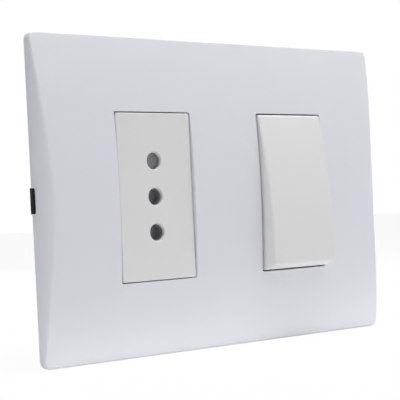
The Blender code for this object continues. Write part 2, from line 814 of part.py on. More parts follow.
def key_outline(inset, rear, steps=12):
    """(y, z) outline of the key about its pivot: a crowned face between two arcs about the pivot."""
    radius = key_crown_radius - inset
    centre = key_crown_radius - key_total_rise
    sweep = key_sweep - inset
    half = key_half - inset
    heights = [half * (2 * i / steps - 1) for i in range(steps + 1)]
    face = [(centre - math.sqrt(radius ** 2 - z ** 2), z) for z in heights]
    start = math.degrees(math.atan2(half, face[-1][0]))
    end = math.degrees(math.atan2(math.sqrt(sweep ** 2 - rear ** 2), rear))
    upper = arc((0.0, 0.0), sweep, start, end, 4)
    lower = [(y, -z) for y, z in reversed(upper)]
    return lower + face[1:-1] + upper


def make_key(pivot):
    """Hollow rocker key with a crowned face, a plunger tube and two trunnions."""
    block = extruded("rocker_key", key_outline(0.0, key_skirt), -module_half, module_half, "X")
    key = node("rocker_key", block, module_white, pivot)
    bevel = key.modifiers.new("edges", "BEVEL")
    bevel.width = key_edge
    bevel.segments = 2
    bevel.limit_method = "ANGLE"
    bevel.angle_limit = math.radians(40)
    inner = module_half - key_wall
    hollow = extruded("key_hollow", key_outline(key_wall, key_skirt + overrun), -inner, inner, "X")
    cut(key, tool("key_hollow", hollow, pivot))
    root = key_wall - key_total_rise - sink
    reach = plunger_reach - tube_setback
    tube = rod("plunger_tube", tube_radius, root, reach, "Y", (0.0, 0.0))
    bore = rod("plunger_bore", plunger_radius + fit_gap, root, reach + overrun, "Y", (0.0, 0.0))
    join(key, tool("plunger_tube", tube, pivot))
    cut(key, tool("plunger_bore", bore, pivot))
    for label, side in (("left_trunnion", -1), ("right_trunnion", 1)):
        low, high = sorted((side * (inner + sink), side * (inner - fit_gap - cheek_thickness)))
        join(key, tool(label, rod(label, trunnion_radius, low, high, "X", (0.0, 0.0)), pivot))


def make_plunger(pivot):
    """Round-nosed pin that the spring presses onto the contact blade."""
    nose = arc((0.0, -plunger_centre), plunger_radius, 0, -90, 5)
    outline = [(0.0, -plunger_seat), (plunger_radius, -plunger_seat)] + nose
    plunger = node("plunger", profile("plunger", outline), steel, pivot)
    turn(plunger, 16)
    facing_room(plunger, (0.0, 0.0, 0.0))


def make_spring(pivot):
    """Steel coil between the key and the plunger."""
    start = key_wall - key_total_rise - sink + fit_gap + spring_wire
    end = plunger_seat - fit_gap - spring_wire
    coil = plunger_radius - spring_wire
    curve = bpy.data.curves.new("plunger_spring", "CURVE")
    curve.dimensions = "3D"
    curve.bevel_depth = spring_wire
    curve.bevel_resolution = 1
    curve.use_fill_caps = True
    count = spring_turns * points_per_turn
    spline = curve.splines.new("POLY")
    spline.points.add(count)
    for i, point in enumerate(spline.points):
        angle = 2 * math.pi * i / points_per_turn
        y = start + (end - start) * i / count
        point.co = (coil * math.cos(angle), y, coil * math.sin(angle), 1.0)
    curve.materials.append(steel)
    spring = place("plunger_spring", curve, pivot)
    parts.objects.link(spring)


def make_rivet(name, grip, parent):
    """Silver rivet with a domed head, its head's seat at its own origin."""
    dome = [(out * rivet_radius, up * rivet_head) for out, up in rivet_dome]
    end = -grip - 2 * fit_gap
    stem = [(rivet_shank, 0.0), (rivet_shank, end), (0.0, end)]
    rivet = node(name, profile(name, dome + stem), silver, parent)
    turn(rivet, 16)
    return rivet


def make_blade(pivot):
    """Copper blade that rocks on the knife edge, with its silver contact rivet."""
    rear = -fit_gap
    front = rear - blade_thickness
    half = contact_offset + rivet_radius
    notch = knife_thickness / 2
    outline = [(front, -half), (front, half), (rear, half), (rear, notch), (rear - fit_gap, 0.0),
               (rear, -notch), (rear, -half)]
    strip = extruded("contact_blade", outline, -blade_width / 2, blade_width / 2, "X")
    blade = node("contact_blade", strip, copper, pivot)
    hole = rod("blade_hole", rivet_shank + fit_gap, front - overrun, rear + overrun, "Y",
               (0.0, -contact_offset), 16)
    cut(blade, tool("blade_hole", hole, pivot))
    rivet = make_rivet("moving_rivet", blade_thickness, pivot)
    facing_wall(rivet, (0.0, rear + fit_gap, -contact_offset))


def make_common_terminal(module):
    """Brass strip with the knife edge that the blade rocks on."""
    rear = switch_floor - fit_gap
    front = rear - foot_thickness
    half = knife_thickness / 2
    shoulder = knife_y + knife_thickness
    outer = terminal_z + terminal_height / 2
    outline = [(rear, outer), (front, outer), (front, half), (shoulder, half), (knife_y, 0.0),
               (shoulder, -half), (rear, -half)]
    strip = extruded("common_terminal", outline, -blade_width / 2, blade_width / 2, "X")
    terminal = node("common_terminal", strip, brass, module)
    join(terminal, terminal_foot("common_foot", module, 1, switch_floor, terminal_z, foot_thickness))
    make_clamp("common_terminal", module, 1, switch_floor, terminal_z, terminal)


def make_fixed_terminal(module):
    """Brass strip with a raised pad for the fixed contact rivet."""
    rear = switch_floor - fit_gap
    front = rear - foot_thickness
    outer = -terminal_z - terminal_height / 2
    riser = contact_z - rivet_radius - pad_margin
    pad_end = contact_z + rivet_radius
    pad_rear = pad_y + pad_thickness
    outline = [(rear, outer), (rear, riser), (pad_rear, riser), (pad_rear, pad_end), (pad_y, pad_end),
               (pad_y, riser - pad_thickness), (front, riser - pad_thickness), (front, outer)]
    strip = extruded("fixed_terminal", outline, -blade_width / 2, blade_width / 2, "X")
    terminal = node("fixed_terminal", strip, brass, module)
    join(terminal, terminal_foot("fixed_foot", module, 1, switch_floor, -terminal_z, foot_thickness))
    hole = rod("pad_hole", rivet_shank + fit_gap, pad_y - overrun, pad_rear + overrun, "Y",
               (0.0, contact_z), 16)
    cut(terminal, tool("pad_hole", hole, module))
    rivet = make_rivet("fixed_rivet", pad_thickness, module)
    facing_room(rivet, (0.0, pad_y - fit_gap, contact_z))
    make_clamp("fixed_terminal", module, 1, switch_floor, -terminal_z, terminal)


make_cover_plate()
make_support_frame()
make_box_screws()

socket_module = frame_at("socket_module", (socket_x, 0.0, 0.0))
make_socket_cover(socket_module)
make_socket_housing(socket_module)
for pole, pole_z in (("line", pin_pitch), ("earth", 0.0), ("neutral", -pin_pitch)):
    make_contact(pole, pole_z, socket_module)

switch_module = frame_at("switch_module", (switch_x, 0.0, 0.0))
key_pivot = frame_at("key_pivot", (0.0, pivot_y, 0.0), -key_tilt, switch_module)
blade_pivot = frame_at("blade_pivot", (0.0, knife_y, 0.0), blade_tilt, switch_module)
make_switch_housing(switch_module)
make_key(key_pivot)
make_plunger(key_pivot)
make_spring(key_pivot)
make_blade(blade_pivot)
make_common_terminal(switch_module)
make_fixed_terminal(switch_module)
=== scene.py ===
"""Looks of a flush-mounted switch and socket combination.

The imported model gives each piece's place and size. A finer mesh takes the place of each of its solids, and
every piece gets the finish of its material.
"""
import math

import bmesh
import bpy
from mathutils import Matrix, Vector


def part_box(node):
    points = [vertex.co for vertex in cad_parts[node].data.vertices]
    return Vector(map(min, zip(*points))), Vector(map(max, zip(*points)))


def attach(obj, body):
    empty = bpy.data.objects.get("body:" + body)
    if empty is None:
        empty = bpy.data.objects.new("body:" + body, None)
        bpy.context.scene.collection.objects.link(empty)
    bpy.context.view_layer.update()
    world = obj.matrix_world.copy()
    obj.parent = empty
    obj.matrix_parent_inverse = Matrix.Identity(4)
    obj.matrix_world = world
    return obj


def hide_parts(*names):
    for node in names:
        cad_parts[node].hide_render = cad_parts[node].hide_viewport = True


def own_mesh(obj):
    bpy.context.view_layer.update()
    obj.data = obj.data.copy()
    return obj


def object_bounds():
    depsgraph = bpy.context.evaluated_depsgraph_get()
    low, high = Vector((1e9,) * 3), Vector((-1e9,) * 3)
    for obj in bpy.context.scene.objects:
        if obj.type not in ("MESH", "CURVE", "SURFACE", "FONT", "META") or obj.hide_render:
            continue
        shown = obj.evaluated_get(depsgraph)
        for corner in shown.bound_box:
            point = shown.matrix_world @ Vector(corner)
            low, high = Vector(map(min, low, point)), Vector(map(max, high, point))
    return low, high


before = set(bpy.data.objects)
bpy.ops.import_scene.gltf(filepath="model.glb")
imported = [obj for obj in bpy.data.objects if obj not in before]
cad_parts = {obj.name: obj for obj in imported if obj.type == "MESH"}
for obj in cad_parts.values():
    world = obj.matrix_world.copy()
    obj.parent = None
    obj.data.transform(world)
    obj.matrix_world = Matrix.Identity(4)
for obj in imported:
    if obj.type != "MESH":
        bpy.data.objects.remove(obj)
cad_low, cad_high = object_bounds()

# Camera
# It stands to the left of the plate, level with its middle, and looks at it through a long lens. Its slight
# roll and its shift are those of the photograph.
camera_place = (-0.2127, -0.2616, -0.00465)
camera_turn = math.radians(-37.94)
camera_pitch = math.radians(-1.44)
camera_roll = math.radians(-2.74)
camera_data = bpy.data.cameras.new("camera")
camera_data.lens = 107.8
camera_data.sensor_width = 36.0
camera_data.shift_x = 0.0120
camera_data.shift_y = 0.1057
camera_data.clip_start = 0.01
camera = bpy.data.objects.new("camera", camera_data)
camera.matrix_world = (Matrix.Translation(camera_place) @ Matrix.Rotation(camera_turn, 4, "Z")
                       @ Matrix.Rotation(math.pi / 2 + camera_pitch, 4, "X")
                       @ Matrix.Rotation(camera_roll, 4, "Z"))
bpy.context.scene.collection.objects.link(camera)
bpy.context.scene.camera = camera
bpy.context.scene.view_settings.view_transform = "Standard"

# Studio
# A pale floor just under the plate, a white surround and soft lamps: strong ones overhead and at the rear,
# faint ones in front and at either side, and a narrow one on the floor along the plate's foot.
surround_light = (0.175, 0.175, 0.185, 1.0)
surround_white = 1.0
floor_gap = 0.0002
floor_reach = 3.0
floor_tone = (0.90, 0.90, 0.90, 1.0)
floor_roughness = 0.9
floor_white = 0.93
plate_middle = (0.0, 0.0, 0.0)


def show_white(tree, kind, shader, output, share):
    """Let what the camera, a gloss or glass sees of this shader tend to plain white."""
    path = tree.nodes.new("ShaderNodeLightPath")
    seen = path.outputs["Is Camera Ray"]
    for ray in ("Is Glossy Ray", "Is Transmission Ray"):
        either = tree.nodes.new("ShaderNodeMath")
        either.operation = "MAXIMUM"
        tree.links.new(seen, either.inputs[0])
        tree.links.new(path.outputs[ray], either.inputs[1])
        seen = either.outputs[0]
    part = tree.nodes.new("ShaderNodeMath")
    part.operation = "MULTIPLY"
    part.inputs[1].default_value = share
    tree.links.new(seen, part.inputs[0])
    white = tree.nodes.new(kind)
    white.inputs["Color"].default_value = (1.0, 1.0, 1.0, 1.0)
    mix = tree.nodes.new("ShaderNodeMixShader")
    tree.links.new(part.outputs[0], mix.inputs[0])
    tree.links.new(shader, mix.inputs[1])
    tree.links.new(white.outputs[0], mix.inputs[2])
    tree.links.new(mix.outputs[0], output)


world = bpy.data.worlds.new("surround")
bpy.context.scene.world = world
world.use_nodes = True
background = world.node_tree.nodes["Background"]
background.inputs["Color"].default_value = surround_light
show_white(world.node_tree, "ShaderNodeBackground", background.outputs[0],
           world.node_tree.nodes["World Output"].inputs["Surface"], surround_white)

floor_level = cad_low.z - floor_gap
floor_shape = bmesh.new()
bmesh.ops.create_grid(floor_shape, x_segments=1, y_segments=1, size=floor_reach)
bmesh.ops.translate(floor_shape, verts=floor_shape.verts, vec=(0.0, 0.0, floor_level))
floor_mesh = bpy.data.meshes.new("floor")
floor_shape.to_mesh(floor_mesh)
floor_shape.free()
floor = bpy.data.objects.new("floor", floor_mesh)
bpy.context.scene.collection.objects.link(floor)
floor_paint = bpy.data.materials.new("floor_paint")
floor_paint.use_nodes = True
floor_shader = floor_paint.node_tree.nodes["Principled BSDF"]
floor_shader.inputs["Base Color"].default_value = floor_tone
floor_shader.inputs["Roughness"].default_value = floor_roughness
show_white(floor_paint.node_tree, "ShaderNodeEmission", floor_shader.outputs[0],
           floor_paint.node_tree.nodes["Material Output"].inputs["Surface"], floor_white)
floor_mesh.materials.append(floor_paint)

# Name, place, aim, width, height, power in watts
lamps = (("over_lamp", (0.00, -0.06, 0.42), plate_middle, 0.50, 0.20, 1.58),
         ("high_lamp", (0.05, -0.30, 0.34), plate_middle, 0.50, 0.25, 0.43),
         ("low_lamp", (-0.02, -0.42, 0.02), plate_middle, 0.40, 0.10, 0.04),
         ("table_lamp", (0.01, -0.0101, -0.0424), (0.01, -0.0101, 1.0), 0.20, 0.0158, 0.0033),
         ("right_lamp", (0.55, -0.25, 0.10), plate_middle, 0.30, 0.40, 0.30),
         ("left_lamp", (-0.55, -0.12, 0.12), plate_middle, 0.30, 0.40, 0.06),
         ("rear_lamp", (0.25, 0.45, 0.25), plate_middle, 0.40, 0.30, 1.20))
for lamp_name, lamp_place, lamp_aim, lamp_width, lamp_height, lamp_power in lamps:
    lamp_data = bpy.data.lights.new(lamp_name, "AREA")
    lamp_data.shape = "RECTANGLE"
    lamp_data.size = lamp_width
    lamp_data.size_y = lamp_height
    lamp_data.energy = lamp_power
    lamp = bpy.data.objects.new(lamp_name, lamp_data)
    lamp.location = lamp_place
    lamp.rotation_euler = (Vector(lamp_aim) - Vector(lamp_place)).to_track_quat("-Z", "Y").to_euler()
    bpy.context.scene.collection.objects.link(lamp)

# Cover plate
# A thin shell of satin white plastic, moulded in one piece. Its front is crowned from top to bottom, its two
# flanks fall away in a quarter ellipse, and it snaps onto the support frame with four tongues.


def add(tree, kind, **values):
    """New shader node with some of its settings or inputs given."""
    made = tree.nodes.new("ShaderNode" + kind)
    for key, value in values.items():
        if hasattr(made, key):
            setattr(made, key, value)
        else:
            made.inputs[key.replace("_", " ")].default_value = value
    return made


def new_group(name, inputs, outputs):
    """Shader node group with its sockets; gives the tree, its inputs and its outputs."""
    tree = bpy.data.node_groups.new(name, "ShaderNodeTree")
    for label, kind, value in inputs:
        socket = tree.interface.new_socket(label, in_out="INPUT", socket_type="NodeSocket" + kind)
        if value is not None:
            socket.default_value = value
    for label, kind in outputs:
        tree.interface.new_socket(label, in_out="OUTPUT", socket_type="NodeSocket" + kind)
    return tree, tree.nodes.new("NodeGroupInput"), tree.nodes.new("NodeGroupOutput")


def noise(tree, group_in, scale, **settings):
    """Noise over the piece at one of the scales that a group is given."""
    texture = add(tree, "TexNoise", **settings)
    tree.links.new(group_in.outputs["Vector"], texture.inputs["Vector"])
    tree.links.new(group_in.outputs[scale], texture.inputs["Scale"])
    return texture


def mix_colours(tree, group_in, group_out, second_colour, texture):
    """Group colour that wanders between its two colours."""
    tone = add(tree, "Mix", data_type="RGBA")
    tree.links.new(texture.outputs["Fac"], tone.inputs[0])
    tree.links.new(group_in.outputs["Colour"], tone.inputs[6])
    tree.links.new(group_in.outputs[second_colour], tone.inputs[7])
    tree.links.new(tone.outputs[2], group_out.inputs["Colour"])


def vary_roughness(tree, group_in, group_out, texture):
    """Group roughness that wanders between its low and its high value."""
    gloss = add(tree, "MapRange", From_Min=0.3, From_Max=0.7)
    tree.links.new(texture.outputs["Fac"], gloss.inputs["Value"])
    tree.links.new(group_in.outputs["Roughness Low"], gloss.inputs["To Min"])
    tree.links.new(group_in.outputs["Roughness High"], gloss.inputs["To Max"])
    tree.links.new(gloss.outputs[0], group_out.inputs["Roughness"])


def raise_relief(tree, group_in, group_out, reliefs):
    """Group normal from textures and their depths, each laid over the one before."""
    below = None
    for texture, depth in reliefs:
        bump = add(tree, "Bump", Strength=1.0)
        tree.links.new(texture.outputs["Fac"], bump.inputs["Height"])
        tree.links.new(group_in.outputs[depth], bump.inputs["Distance"])
        if below:
            tree.links.new(below.outputs[0], bump.inputs["Normal"])
        below = bump
    tree.links.new(below.outputs[0], group_out.inputs["Normal"])


# The skin that a steel mould leaves on plastic: a faint flow tone, slow waves and a fine eroded grain
moulded_skin, skin_in, skin_out = new_group("moulded_skin", (
    ("Vector", "Vector", None), ("Colour", "Color", (0.8, 0.8, 0.8, 1.0)),
    ("Flow Colour", "Color", (0.78, 0.78, 0.78, 1.0)), ("Flow Scale", "Float", 40.0),
    ("Wave Scale", "Float", 160.0), ("Wave Depth", "Float", 0.00002),
    ("Grain Scale", "Float", 2500.0), ("Grain Depth", "Float", 0.00001),
    ("Roughness Low", "Float", 0.38), ("Roughness High", "Float", 0.46)),
    (("Colour", "Color"), ("Roughness", "Float"), ("Normal", "Vector")))
flow = noise(moulded_skin, skin_in, "Flow Scale", Detail=3.0, Roughness=0.55)
waves = noise(moulded_skin, skin_in, "Wave Scale", Detail=1.0)
grain = noise(moulded_skin, skin_in, "Grain Scale", Detail=2.0, Roughness=0.6)
mix_colours(moulded_skin, skin_in, skin_out, "Flow Colour", flow)
vary_roughness(moulded_skin, skin_in, skin_out, grain)
raise_relief(moulded_skin, skin_in, skin_out, ((waves, "Wave Depth"), (grain, "Grain Depth")))


def finish_with(name, group, values, **settings):
    """Material whose colour, roughness and normal come from a group laid on the object's coordinates."""
    material = bpy.data.materials.new(name)
    material.use_nodes = True
    tree = material.node_tree
    shader = tree.nodes["Principled BSDF"]
    for key, value in settings.items():
        shader.inputs[key.replace("_", " ")].default_value = value
    coordinates = add(tree, "TexCoord")
    skin = add(tree, "Group", node_tree=group)
    for key, value in values.items():
        skin.inputs[key].default_value = value
    tree.links.new(coordinates.outputs["Object"], skin.inputs["Vector"])
    tree.links.new(skin.outputs["Colour"], shader.inputs["Base Color"])
    tree.links.new(skin.outputs["Roughness"], shader.inputs["Roughness"])
    tree.links.new(skin.outputs["Normal"], shader.inputs["Normal"])
    return material


plastic_ior = 1.49
gloss_spread = 0.05


def moulded(name, colour, flow_colour, roughness, grain_depth, grain_scale=2500.0, **settings):
    """Plastic as it comes from the mould."""
    return finish_with(name, moulded_skin, {
        "Colour": (*colour, 1.0), "Flow Colour": (*flow_colour, 1.0), "Grain Depth": grain_depth,
        "Grain Scale": grain_scale, "Roughness Low": roughness - gloss_spread,
        "Roughness High": roughness + gloss_spread}, IOR=plastic_ior, **settings)


def new_piece(name, shape, material, body, nodes, sharp=35.0):
    """Object from a bmesh in the place of some CAD nodes, smooth but for edges sharper than this."""
    mesh = bpy.data.meshes.new(name)
    shape.to_mesh(mesh)
    shape.free()
    mesh.shade_smooth()
    mesh.set_sharp_from_angle(angle=math.radians(sharp))
    mesh.materials.append(material)
    piece = bpy.data.objects.new(name, mesh)
    bpy.context.scene.collection.objects.link(piece)
    shading = piece.modifiers.new("flat_faces_stay_flat", "WEIGHTED_NORMAL")
    shading.keep_sharp = True
    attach(piece, body)
    if nodes:
        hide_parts(*nodes)
    return piece


smallest_edge = 1e-6


def boolean(shape, tool, operation="DIFFERENCE"):
    """Cut a closed tool shape from a closed shape, or join it. Gives the new shape."""
    pair = []
    for part in (shape, tool):
        bmesh.ops.recalc_face_normals(part, faces=part.faces)
        mesh = bpy.data.meshes.new("working")
        part.to_mesh(mesh)
        part.free()
        pair.append(bpy.data.objects.new("working", mesh))
        bpy.context.scene.collection.objects.link(pair[-1])
    modifier = pair[0].modifiers.new("carve", "BOOLEAN")
    modifier.operation = operation
    modifier.solver = "EXACT"
    modifier.object = pair[1]
    bpy.context.view_layer.update()
    result = bpy.data.meshes.new_from_object(pair[0].evaluated_get(bpy.context.evaluated_depsgraph_get()))
    carved = bmesh.new()
    carved.from_mesh(result)
    bmesh.ops.dissolve_degenerate(carved, dist=smallest_edge, edges=carved.edges)
    for part in pair:
        bpy.data.objects.remove(part)
    return carved


def only_verts(parts):
    """The vertices among some parts of a shape."""
    return [part for part in parts if isinstance(part, bmesh.types.BMVert)]


def prism(shape, outline, low, high, along):
    """Extrude an outline: (y, z) along X, (x, z) along Y or (x, y) along Z. Gives its vertices."""
    axis = "XYZ".index(along)
    rim = []
    for across, up in outline:
        spot = [across, up]
        spot.insert(axis, low)
        rim.append(shape.verts.new(spot))
    face = shape.faces.new(rim)
    grown = only_verts(bmesh.ops.extrude_face_region(shape, geom=[face], use_keep_orig=True)["geom"])
    step = [0.0, 0.0, 0.0]
    step[axis] = high - low
    bmesh.ops.translate(shape, verts=grown, vec=step)
    return rim + grown


def rounded(shape, edges, radius, segments):
    """Round some edges."""
    bmesh.ops.bevel(shape, geom=edges, offset=radius, offset_type="OFFSET", segments=segments, profile=0.5,
                    affect="EDGES", material=-1)


def sharp_edges(shape, angle=35.0):
    """Edges between faces that meet at more than this many degrees."""
    return [edge for edge in shape.edges
            if edge.is_manifold and edge.calc_face_angle() > math.radians(angle)]


def arc(centre, radius, start, end, steps):
    """Points on a circle between two angles in degrees."""
    angles = [math.radians(start + (end - start) * i / steps) for i in range(steps + 1)]
    return [(centre[0] + radius * math.cos(a), centre[1] + radius * math.sin(a)) for a in angles]


def spread(start, end, count):
    """Evenly spaced values from start up to, but not with, end."""
    return [start + (end - start) * i / count for i in range(count)]


plate_low, plate_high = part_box("cover_plate")
cover_low, cover_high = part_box("socket_cover")
key_low, key_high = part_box("rocker_key")
plate_half_x = plate_high.x
plate_half_z = plate_high.z
plate_depth = -plate_low.y
plate_edge_depth = 0.0019
plate_wall = 0.0016
plate_corner = 0.0022
plate_arris = 0.0005
flank_width = 0.0042
flank_blend = 0.0005
window_inner_gap = 0.0008
window_outer_gap = 0.0004
window_top_gap = 0.0005
window_inner = key_low.x - window_inner_gap
window_outer = key_high.x + window_outer_gap
window_top = cover_high.z + window_top_gap
window_corner = 0.0006
window_edge = 0.00018
stretch_width = 0.0015
field_end = plate_half_x - flank_width - stretch_width
crown_drop = plate_depth - plate_edge_depth
crown_radius = (plate_half_z ** 2 + crown_drop ** 2) / (2 * crown_drop)
same_spot = 1e-7

# How many strips of faces each stretch of the skin has, from the middle outwards
window_start = 12
window_end = 36
outer_columns = 14
field_columns = (spread(0.0, window_inner, window_start)
                 + spread(window_inner, window_outer, window_end - window_start)
                 + spread(window_outer, field_end, outer_columns))
stretch_columns = 4
blend_columns = 6
flank_columns = 16
columns = len(field_columns) + stretch_columns + blend_columns + flank_columns
window_rows = 24
upper_rows = 16
field_rows = (spread(0.0, window_top, window_rows)
              + spread(window_top, plate_half_z - plate_corner, upper_rows))
corner_rows = 14
rows = len(field_rows) + corner_rows


def crown(z, inset=0.0):
    """Distance from the wall of the plate's front, or of a surface that lies deeper by the inset."""
    return plate_depth - crown_radius + math.sqrt((crown_radius - inset) ** 2 - z ** 2)


def plate_row(j, inset):
    """Height, half width and depth of one row of the plate's skin, counted from the middle."""
    if j < len(field_rows):
        z = field_rows[j]
        half = plate_half_x - inset
    else:
        angle = math.pi / 2 * min(j - len(field_rows), corner_rows) / corner_rows
        z = plate_half_z - plate_corner + (plate_corner - inset) * math.sin(angle)
        half = plate_half_x - plate_corner + (plate_corner - inset) * math.cos(angle)
    depth = crown(z, inset)
    past = z - (plate_half_z - plate_arris)
    if past > 0:
        depth -= plate_arris - math.sqrt(max(plate_arris ** 2 - past ** 2, 0.0))
    return z, half, depth


def plate_spot(i, half, depth, inset):
    """(x, depth) of one column of a row: on the field, its stretch, the soft crease or the flank."""
    full = plate_depth - inset
    width = flank_width - inset
    crease = math.asin(min(depth / full, 1.0))
    crease_x = half - width * (1 - math.cos(crease))
    after = crease - min(2 * flank_blend / (full + width), crease / 2)
    if i < len(field_columns):
        return field_columns[i], depth
    i -= len(field_columns)
    if i < stretch_columns:
        return field_end + (crease_x - flank_blend - field_end) * i / stretch_columns, depth
    i -= stretch_columns
    if i < blend_columns:
        t = i / blend_columns
        after_x = half - width * (1 - math.cos(after))
        x = (1 - t) ** 2 * (crease_x - flank_blend) + 2 * t * (1 - t) * crease_x + t ** 2 * after_x
        return x, (1 - t ** 2) * depth + t ** 2 * full * math.sin(after)
    angle = after * (1 - (i - blend_columns) / flank_columns)
    return half - width * (1 - math.cos(angle)), full * math.sin(angle)


# A flat grid is cut open at the windows and doubled, and then each vertex moves to its place on the shell
plate_shape = bmesh.new()
bmesh.ops.create_grid(plate_shape, x_segments=2 * columns, y_segments=2 * (rows + 1), size=1.0)
bmesh.ops.scale(plate_shape, verts=plate_shape.verts, vec=(columns, rows + 1, 1.0))
opened = []
for face in plate_shape.faces:
    spot = face.calc_center_median()
    if window_start < abs(spot.x) < window_end and abs(spot.y) < window_rows:
        opened.append(face)
bmesh.ops.delete(plate_shape, geom=opened, context="FACES")
doubled = bmesh.ops.extrude_face_region(plate_shape, geom=plate_shape.faces[:], use_keep_orig=True)["geom"]
bmesh.ops.translate(plate_shape, verts=only_verts(doubled), vec=(0.0, 0.0, 1.0))
for vert in plate_shape.verts:
    i, j = round(vert.co.x), round(vert.co.y)
    inset = plate_wall if vert.co.z < 0.5 else 0.0
    z, half, depth = plate_row(abs(j), inset)
    x, depth = plate_spot(abs(i), half, depth, inset)
    if abs(j) > rows or abs(i) == columns:
        depth = 0.0
    vert.co = (math.copysign(x, i), -depth, math.copysign(z, j))
bmesh.ops.remove_doubles(plate_shape, verts=plate_shape.verts, dist=same_spot)
bmesh.ops.recalc_face_normals(plate_shape, faces=plate_shape.faces)

slack = 1e-5


def in_window(vert):
    """Whether a vertex lies on the border of a window."""
    return (window_inner - slack < abs(vert.co.x) < window_outer + slack
            and abs(vert.co.z) < window_top + slack)


corners = [edge for edge in sharp_edges(plate_shape) if all(in_window(vert) for vert in edge.verts)
           and abs(edge.verts[0].co.y - edge.verts[1].co.y) > plate_wall / 2]
rounded(plate_shape, corners, window_corner, segments=4)
borders = [edge for edge in sharp_edges(plate_shape) if all(
    in_window(vert) and -vert.co.y > crown(vert.co.z) - plate_wall / 2 for vert in edge.verts)]
rounded(plate_shape, borders, window_edge, segments=3)

notch_half = 0.00342
notch_depth = 0.0015
notch_corner = 0.0009
notch_past = 0.0010
bend = arc((notch_corner - notch_depth, notch_half - notch_corner), notch_corner, 180, 90, steps=6)
notch = ([(y, -z) for y, z in reversed(bend)] + bend
         + [(notch_past, notch_half), (notch_past, -notch_half)])
notch_tools = bmesh.new()
for side in (-1, 1):
    ends = sorted((side * (plate_half_x - flank_width), side * (plate_half_x + notch_past)))
    prism(notch_tools, notch, *ends, "X")
plate_shape = boolean(plate_shape, notch_tools)

tongue_x = 0.0475
tongue_z = 0.0280
tongue_width = 0.0050
tongue_thickness = 0.0012
tongue_barb = 0.0006
tongue_play = 0.0003
tongue_edge = 0.00012
tongue_reach = plate_high.y
tongue_root = -crown(tongue_z, plate_wall) - tongue_play
outer = tongue_z + tongue_thickness / 2
tongue = [(tongue_root, tongue_z - tongue_thickness / 2), (tongue_reach, tongue_z - tongue_thickness / 2),
          (tongue_reach, tongue_z), (tongue_reach / 2 + tongue_play, outer + tongue_barb),
          (tongue_play, outer + tongue_barb), (tongue_play, outer), (tongue_root, outer)]
tongues = bmesh.new()
for x in (-tongue_x, tongue_x):
    for side in (-1, 1):
        prism(tongues, [(y, side * z) for y, z in tongue], x - tongue_width / 2, x + tongue_width / 2, "X")
rounded(tongues, tongues.edges[:], tongue_edge, segments=2)
plate_shape = boolean(plate_shape, tongues, "UNION")
plate_white = moulded("plate_white", (0.790, 0.800, 0.835), (0.775, 0.785, 0.820), 0.42, 0.000006)
new_piece("cover_plate_shell", plate_shape, plate_white, "base", ["cover_plate"])

# Support frame
# A stiff black carrier with one opening for three modules, moulded with a matt eroded skin. The plate snaps
# into its four slots, its end tabs show in the plate's notches, and thin nibs close the gaps by the modules.
cad_merge = 1e-6
cad_flat = 0.5


def merged(node):
    """A CAD solid with its doubles merged and its flats joined."""
    shape = bmesh.new()
    shape.from_mesh(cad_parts[node].data)
    bmesh.ops.remove_doubles(shape, verts=shape.verts, dist=cad_merge)
    bmesh.ops.dissolve_limit(shape, angle_limit=math.radians(cad_flat), verts=shape.verts,
                             edges=shape.edges)
    return shape


frame_black = moulded("frame_black", (0.011, 0.011, 0.012), (0.015, 0.015, 0.016), 0.55, 0.00003, 1800.0,
                      Specular_IOR_Level=0.12)
frame_edge = 0.00012
nib_inner = 0.0214
nib_outer = 0.0230
nib_front = 0.0025
nib_rear = 0.0034
nib_near = 0.0001
nib_far = 0.0006
nib_middle_near = 0.0120
nib_middle_far = 0.01255
nib_places = ((cover_low.x - nib_far, cover_low.x - nib_near), (-nib_middle_far, -nib_middle_near),
              (nib_middle_near, nib_middle_far), (key_high.x + nib_near, key_high.x + nib_far))
frame_shape = merged("support_frame")
rounded(frame_shape, sharp_edges(frame_shape), frame_edge, segments=2)
nibs = bmesh.new()
for low_x, high_x in nib_places:
    for side in (-1, 1):
        low_z, high_z = sorted((side * nib_inner, side * nib_outer))
        prism(nibs, [(-nib_front, low_z), (nib_rear, low_z), (nib_rear, high_z), (-nib_front, high_z)],
              low_x, high_x, "X")
frame_shape = boolean(frame_shape, nibs, "UNION")
new_piece("support_frame_carrier", frame_shape, frame_black, "base", ["support_frame"])

# Socket and switch housings
# Two deep boxes of dark grey plastic that clip into the frame from behind, each held by four hooks. Pockets
# in the rear give a screwdriver its way to the terminals.
housing_grey = moulded("housing_grey", (0.100, 0.100, 0.110), (0.088, 0.088, 0.096), 0.52, 0.00003, 1500.0)
housing_edge = 0.00015
for module in ("socket", "switch"):
    housing_shape = merged(module + "_housing")
    rounded(housing_shape, sharp_edges(housing_shape), housing_edge, segments=2)
    new_piece(module + "_housing_box", housing_shape, housing_grey, "base",
              [module + "_housing"])

# Socket cover
# The off-white front of the socket, flat, with a round guide behind each pin hole and two snap legs that
# hold it in its housing. It is a little more neutral and more matt than the plate.
cover_wall = 0.0014
cover_face = 0.0020
cover_corner = 0.00075
cover_edge = 0.0005
cover_past = 0.0010
lip_depth = 0.0012
lip_side = 0.00028
lip_top = 0.00028
cover_x = (cover_low.x + cover_high.x) / 2
cover_half_x = (cover_high.x - cover_low.x) / 2
pin_pitch = 0.0095
pin_hole = 0.00225
pin_rim = 0.0006
guide_radius = 0.0034
guide_reach = 0.0012
bore_land = 0.0011
bore_relief = 0.0029
bore_step = 0.00015
leg_half = 0.0030
leg_thickness = 0.0013
leg_barb = 0.0009
leg_barb_height = 0.0016
leg_outer = 0.0193
leg_play = 0.0003


def rounded_rectangle(half_x, half_z, radius, centre=(0.0, 0.0), steps=8):
    """Outline of a rectangle with round corners."""
    points = []
    for quarter, (across, up) in enumerate(((1, 1), (-1, 1), (-1, -1), (1, -1))):
        corner = (centre[0] + across * (half_x - radius), centre[1] + up * (half_z - radius))
        points += arc(corner, radius, 90 * quarter, 90 * quarter + 90, steps)
    return points


